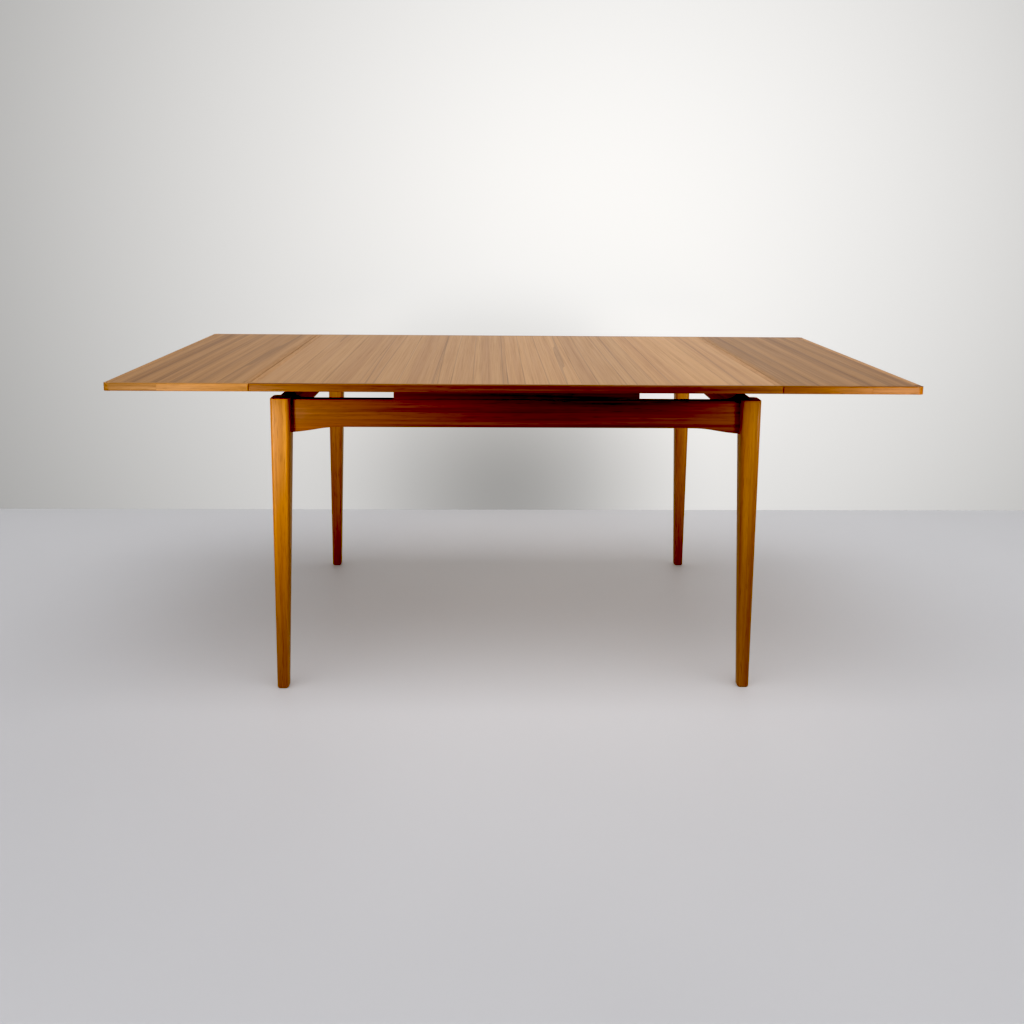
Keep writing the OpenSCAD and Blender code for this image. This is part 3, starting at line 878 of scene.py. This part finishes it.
@dataclass(frozen=True)
class Aprons:
    """The long aprons and the end aprons, deeper at the legs, with softened edges.

    Attributes:
        depth: Depth over the straight middle.
        sweep: The curve at each end.
        into_leg: How far each end runs into the rounding of its leg.
        edge: Radius of the softened edges.
        notch_side: Room beside a runner in its notch.
        notch_under: Room under it.
        overcut: How far the shape of a notch stands out of the apron.
    """

    depth: float = 65 * MM
    sweep: Sweep = Sweep()
    into_leg: float = 6 * MM
    edge: float = 1.5 * MM
    notch_side: float = 0.8 * MM
    notch_under: float = 0.4 * MM
    overcut: float = 8 * MM

    def build(self) -> None:
        """Makes the four aprons."""
        left_high, right_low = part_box("front_left_leg")[1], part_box("front_right_leg")[0]
        back_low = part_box("back_left_leg")[0]
        for depth in ("front", "back"):
            node = f"{depth}_apron"
            apron = self.board(f"apron_{depth}", node, Axis.X, left_high.x, right_low.x)
            fit(apron, "frame", node, Stock.long_apron)
        for hand in ("left", "right"):
            node = f"{hand}_end_apron"
            apron = self.board(f"apron_{hand}", node, Axis.Y, left_high.y, back_low.y, hand)
            fit(apron, "frame", node, Stock.end_apron)

    def board(
        self, name: str, node: str, axis: Axis, start: float, stop: float, notched_for: str = ""
    ) -> bpy.types.Object:
        """Makes one apron.

        Args:
            name: Name of the piece.
            node: Its CAD node.
            axis: The way it runs.
            start: Where it meets the first leg.
            stop: Where it meets the second leg.
            notched_for: The hand of the leaf whose runners pass through it, if any.

        Returns:
            The apron.
        """
        low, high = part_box(node)
        low.z = high.z - self.depth
        low[axis.value], high[axis.value] = start - self.into_leg, stop + self.into_leg
        apron = Bench.block(name, low, high)
        scores = [(low[axis.value], self.sweep.length), (high[axis.value], self.sweep.length)]
        for i in range(self.sweep.steps + 1):
            x = self.sweep.length * i / self.sweep.steps
            scores += [(start + self.sweep.length - x, x), (stop - self.sweep.length + x, x)]
        for place, _ in scores[2:]:
            Bench.cut(apron, axis, place)
        for place, x in scores:
            self.lower(apron, axis, place, low.z, -self.sweep.drop(x))
        if notched_for:
            for side in ("front", "back"):
                Bench.carve(apron, self.notch(notched_for, side, low, high))
        Bench.break_edges(apron, self.edge, 2, 40.0)
        Bench.sand(apron)
        return apron

    def lower(self, apron: bpy.types.Object, axis: Axis, place: float, z: float, drop: float) -> None:
        """Lowers the corners of the lower edge at one place along an apron.

        Args:
            apron: The apron.
            axis: The axis along it.
            place: The place.
            z: Height of the edge.
            drop: How far, negative for down.
        """
        if abs(drop) > 0:
            Bench.slide(apron, lambda p: abs(p[axis.value] - place) < NEAR and abs(p.z - z) < NEAR,
                        (0, 0, drop))

    def notch(self, hand: str, side: str, low: Vector, high: Vector) -> bpy.types.Object:
        """Makes the shape that a runner's notch takes out of an end apron.

        Args:
            hand: left or right.
            side: front or back.
            low: Lowest corner of the apron.
            high: Its highest corner.

        Returns:
            The shape.
        """
        runner_low, runner_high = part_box(f"{hand}_leaf_{side}_runner")
        middle = (low.x + high.x) / 2
        floor = Runner.under(hand, abs(middle)) - self.notch_under
        half = (high.x - low.x) / 2 + self.overcut
        first = Vector((middle - half, runner_low.y - self.notch_side, floor))
        last = Vector((middle + half, runner_high.y + self.notch_side, high.z + self.overcut))
        cutter = Bench.block("notch", first, last)
        for end in (-half, half):
            outwards = end if hand == "right" else -end
            Bench.slide(cutter, lambda p: abs(p.x - middle - end) < NEAR and abs(p.z - floor) < NEAR,
                        (0, 0, outwards * Runner.rise(hand)))
        return cutter


class Runner:
    """The slope of a leaf's runners, worked out from the frame."""

    @staticmethod
    def rise(hand: str) -> float:
        """Gives how far a runner rises for each metre outwards.

        Args:
            hand: left or right.

        Returns:
            The rise.
        """
        joint = next(j for j in frame["joints"] if j["name"] == f"{hand}_leaf_draw")
        axis = joint["axis"]
        return axis[2] / abs(axis[0])

    @staticmethod
    def under(hand: str, reach: float) -> float:
        """Gives the height of a runner's underside at a distance from the middle of the table.

        Args:
            hand: left or right.
            reach: The distance.

        Returns:
            The height.
        """
        low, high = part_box(f"{hand}_leaf_front_runner")
        inner = min(abs(low.x), abs(high.x))
        return low.z + (reach - inner) * Runner.rise(hand)


@dataclass(frozen=True)
class Lippings:
    """Solid edges of the main top and of both leaves. Sizes are in metres.

    Attributes:
        long_width: Width of the lippings along the front and back.
        end_width: Width of those across the ends.
        arris: Radius of the outer arrises.
        seam: Radius of the arrises at a seam.
        corner: Radius of a leaf's corner in plan.
        butt: Softening where a corner piece butts against a long lipping, so that the joint shows.
    """

    long_width: float = 10 * MM
    end_width: float = 16 * MM
    arris: float = 2 * MM
    seam: float = 1 * MM
    corner: float = 25 * MM
    butt: float = 0.4 * MM

    def build(self) -> None:
        """Makes every lipping."""
        for side in ("front", "back"):
            self.long_strip("main_top", side, "main_top", (True, True))
            for hand in ("left", "right"):
                self.long_strip(f"{hand}_leaf", side, f"{hand}_leaf", (hand == "right", hand == "left"))
                self.turned_corner(hand, side)
        for hand in ("left", "right"):
            outer = 0 if hand == "left" else 1
            self.end_strip("main_top", f"main_top_{hand}_lipping", outer, self.seam)
            self.end_strip(f"{hand}_leaf", f"{hand}_leaf_outer_lipping", outer, self.arris)
            self.end_strip(f"{hand}_leaf", f"{hand}_leaf_inner_lipping", 1 - outer, self.seam)

    def long_strip(self, body: str, side: str, stem: str, seams: tuple[bool, bool]) -> None:
        """Makes a lipping along the front or the back.

        Args:
            body: The body that it rides on.
            side: front or back.
            stem: First words of its CAD node's name.
            seams: Whether its left end and its right end are at a seam.
        """
        node = f"{stem}_{side}_lipping"
        low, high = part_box(node)
        strip = Bench.block(f"lipping_{stem}_{side}", low, high)
        y = low.y if side == "front" else high.y
        tests = [Bench.at(y=y, z=low.z), Bench.at(y=y, z=high.z)]
        ends = [x for x, seam in zip((low.x, high.x), seams) if seam]
        tests += [Bench.at(x=x, y=y) for x in ends]
        Bench.round_over(strip, self.arris, 4, *tests)
        if ends:
            Bench.round_over(strip, self.seam, 3,
                             *[Bench.at(x=x, z=z) for x in ends for z in (low.z, high.z)])
        Bench.sand(strip)
        # The left leaf gets the paler lipping teak, which is painted light
        finish = Stock.left_lipping if body == "left_leaf" else Stock.long_lipping
        fit(strip, body, node, finish)

    def end_strip(self, body: str, node: str, outer: int, radius: float) -> None:
        """Makes a lipping across an end.

        Args:
            body: The body that it rides on.
            node: Its CAD node.
            outer: 0 if its rounded edge is on its left, 1 if it is on its right.
            radius: Radius of that edge.
        """
        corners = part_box(node)
        strip = Bench.block("lipping_" + node.removesuffix("_lipping"), *corners)
        x = corners[outer].x
        Bench.round_over(strip, radius, 4, *[Bench.at(x=x, z=corner.z) for corner in corners])
        Bench.sand(strip)
        fit(strip, body, node, Stock.end_lipping)

    def turned_corner(self, hand: str, side: str) -> None:
        """Makes the solid piece that turns an outer corner of a leaf.

        Args:
            hand: left or right.
            side: front or back.
        """
        node = f"{hand}_leaf_{side}_corner"
        low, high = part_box(node)
        out_x, in_x, way_x = (high.x, low.x, 1) if hand == "right" else (low.x, high.x, -1)
        out_y, way_y = (low.y, -1) if side == "front" else (high.y, 1)
        in_y = out_y - way_y * self.long_width
        scored_x = out_x - way_x * self.end_width
        piece = Bench.block(f"lipping_{hand}_leaf_{side}_corner",
                            Vector((in_x, in_y, low.z)), Vector((out_x, out_y, high.z)))
        Bench.cut(piece, Axis.X, scored_x)
        Bench.pull(piece, lambda p: abs(p.y - in_y) < NEAR and way_x * (p.x - scored_x) > -NEAR,
                   (0, -way_y * (self.corner - self.long_width), 0))
        Bench.round_over(piece, self.corner, 16, Bench.at(x=out_x, y=out_y))
        centre = Vector((out_x - way_x * self.corner, out_y - way_y * self.corner))

        def outside(p: Vector) -> bool:
            """Says whether a corner of the mesh lies on the outer edge.

            Args:
                p: The corner's place.

            Returns:
                True if it does.
            """
            turned = way_x * (p.x - centre.x) > 0 and way_y * (p.y - centre.y) > 0
            on_arc = turned and abs((p.xy - centre).length - self.corner) < self.arris / 4
            return on_arc or abs(p.x - out_x) < NEAR or abs(p.y - out_y) < NEAR

        Bench.round_over(piece, self.arris, 4, *[
            lambda p, z=z: abs(p.z - z) < NEAR and outside(p) for z in (low.z, high.z)])
        Bench.round_over(piece, self.butt, 1, lambda p: abs(p.x - in_x) < NEAR)
        Bench.sand(piece)
        # The left leaf gets the paler lipping teak, which is painted light
        finish = Stock.left_lipping if hand == "left" else Stock.long_lipping
        fit(piece, f"{hand}_leaf", node, finish)


@dataclass(frozen=True)
class CarriedOver:
    """The CAD nodes whose shapes are right and that only get their finishes."""

    def dress(self) -> None:
        """Gives each carried-over node its finish."""
        nodes = frame["nodes"]
        rules: list[tuple[str, Finish]] = [
            ("main_top_face_veneer", Stock.top_face),
            ("left_leaf_face_veneer", Stock.left_face),
            ("right_leaf_face_veneer", Stock.right_face),
            ("back_veneer", Stock.backing),
            ("screws", Stock.screw),
            ("core", Stock.core),
            ("runner", Stock.beech_x),
            ("peg", Stock.beech_z),
            ("cross_rail", Stock.beech_y),
            ("corner_block", Stock.beech_x),
            ("centre_board", Stock.board),
        ]
        for name, node in nodes.items():
            if node.hide_render:
                continue
            finish = next(f for words, f in rules if words in name)
            finish.dress(node)
            log.info("%s is finished in %s", name, finish.name)


# ---- Stage ----


@dataclass(frozen=True)
class SoftBox:
    """A square soft light.

    Attributes:
        name: Its name.
        place: Where it stands.
        aim: What it points at.
        width: Its side.
        power: Its power in watts.
        colour: Its colour.
        spread: Angle of its beam in degrees.
    """

    name: str
    place: tuple[float, float, float]
    aim: tuple[float, float, float]
    width: float
    power: float
    colour: str
    spread: float

    def switch_on(self) -> None:
        """Adds the light."""
        light = bpy.data.lights.new(self.name, "AREA")
        light.shape = "SQUARE"
        light.size = self.width
        light.energy = self.power
        light.color = linear(self.colour)[:3]
        light.spread = math.radians(self.spread)
        lamp = bpy.data.objects.new(self.name, light)
        lamp.visible_camera = False
        lamp.location = self.place
        lamp.rotation_euler = (Vector(self.aim) - Vector(self.place)).to_track_quat("-Z", "Y").to_euler()
        bpy.context.scene.collection.objects.link(lamp)


@dataclass(frozen=True)
class Viewpoint:
    """Where the camera stands and how it is framed. Angles are in degrees.

    Attributes:
        place: Where it stands.
        down: How far it looks down.
        right: How far it is turned to the right.
        roll: How far it is rolled.
        lens: Focal length in millimetres on a 36 mm sensor.
        shift: Upward shift of the frame, as a share of its width.
    """

    place: tuple[float, float, float] = (-0.0617, -2.4755, 1.1155)
    down: float = 7.88
    right: float = 1.343
    roll: float = 0.529
    lens: float = 32.71
    shift: float = -0.1658

    def set_up(self) -> None:
        """Adds the camera and makes it the scene's own."""
        down, turn, roll = (math.radians(a) for a in (self.down, self.right, self.roll))
        ahead = Vector((math.sin(turn) * math.cos(down), math.cos(turn) * math.cos(down), -math.sin(down)))
        level = Vector((math.cos(turn), -math.sin(turn), 0.0))
        upward = level.cross(ahead)
        side = level * math.cos(roll) + upward * math.sin(roll)
        up = upward * math.cos(roll) - level * math.sin(roll)
        data = bpy.data.cameras.new("camera")
        data.lens, data.sensor_width, data.shift_y = self.lens, 36.0, self.shift
        camera = bpy.data.objects.new("camera", data)
        turned = Matrix((side, up, -ahead)).transposed().to_4x4()
        camera.matrix_world = Matrix.Translation(self.place) @ turned
        bpy.context.scene.collection.objects.link(camera)
        bpy.context.scene.camera = camera


@dataclass(frozen=True)
class Studio:
    """Pale floor and wall, soft lights and the camera.

    Attributes:
        reach: How far the floor and the wall run.
        wall_y: Where the wall stands.
        lights: The soft boxes.
        fill: Strength of the light from all round.
        ceiling: Strength of the light from a wide ceiling.
        ceiling_edge: Where that light begins, as the sine of the height above the horizon.
        black: Light below this is black, as on a contrasty film.
    """

    reach: float = 12.0
    wall_y: float = 0.94
    lights: tuple[SoftBox, ...] = (
        SoftBox("key_left", (-1.1, -1.3, 0.5), (-0.64, -0.4, 0.58), 0.3, 1.1, "#ffefd8", 48.0),
        SoftBox("key_right", (1.3, -1.25, 0.55), (0.9, -0.4, 0.64), 0.3, 1.35, "#ffefd8", 47.0),
    )
    fill: float = 0.13
    ceiling: float = 3.6
    ceiling_edge: float = 0.55
    black: float = 0.06

    def build(self) -> None:
        """Sets the stage."""
        size = 2 * self.reach
        Bench.clear()
        bpy.ops.mesh.primitive_plane_add(size=size, location=(0, 0, 0))
        floor = bpy.context.object
        bpy.ops.mesh.primitive_plane_add(size=size, location=(0, self.wall_y, 0),
                                         rotation=(math.pi / 2, 0, 0))
        wall = bpy.context.object
        bpy.ops.object.transform_apply(location=True, rotation=True, scale=True)
        for piece, name in ((floor, "floor"), (wall, "wall")):
            piece.name = name
        # Painted light: a faint glow painted on the floor under the table lightens the table's shadow there
        OneWayPaint("floor_paint_painted_light", "#c8c8ca", "#c2c2c4", 0.55, glow="#efe9e4",
                    painted_glow_at=(0.1, -0.1, 0.0), painted_glow_reach=1.45, painted_glow_strength=0.2,
                    painted_shadow_reach=MM).dress(floor)
        # The wall is dark itself, so that no shadow shows on it; its brightness is painted light, a glow
        # that fades outwards, with a patch of painted shadow low behind the table
        OneWayPaint("wall_paint_painted_light_and_shadow", "#4a4a4a", "#464646", 0.9, glow="#efeeec",
                    painted_glow_at=(0.4, 0.94, 1.2), painted_glow_reach=3.6, painted_glow_strength=1.05, painted_glow_least=0.32,
                    painted_shadow_at=(0.0, 0.94, 0.1), painted_shadow_reach=0.85).dress(wall)
        for light in self.lights:
            light.switch_on()
        Viewpoint().set_up()
        self.surround()
        view = bpy.context.scene.view_settings
        view.view_transform = "Standard"
        view.use_curve_mapping = True
        view.curve_mapping.black_level = (self.black,) * 3

    def surround(self) -> None:
        """Lights the scene from above and faintly all round, and shows a pale ground past the floor."""
        world = bpy.data.worlds.new("surround")
        bpy.context.scene.world = world
        world.use_nodes = True
        tree = world.node_tree
        path = add(tree, "ShaderNodeLightPath")
        ray = add(tree, "ShaderNodeTexCoord").outputs["Generated"]
        heading = add(tree, "ShaderNodeSeparateXYZ", {0: ray})
        strength = add(tree, "ShaderNodeMapRange",
                       {"Value": heading.outputs["Z"], "From Min": self.ceiling_edge, "From Max": 1.0,
                        "To Min": self.fill, "To Max": self.ceiling}, interpolation_type="SMOOTHSTEP")
        dim = add(tree, "ShaderNodeBackground",
                  {"Color": linear("#f1f1f3"), "Strength": strength.outputs[0]})
        seen = add(tree, "ShaderNodeBackground", {"Color": linear("#dcdcde"), "Strength": 1.0})
        both = add(tree, "ShaderNodeMixShader",
                   {0: path.outputs["Is Camera Ray"], 1: dim.outputs[0], 2: seen.outputs[0]})
        tree.links.new(both.outputs[0], tree.nodes["World Output"].inputs["Surface"])


def main() -> None:
    """Builds the stage and the table's pieces in order."""
    logging.basicConfig(level=logging.INFO, format="%(name)s: %(message)s")
    Studio().build()
    Legs().build()
    Aprons().build()
    Lippings().build()
    CarriedOver().dress()


if __name__ == "__main__":
    main()
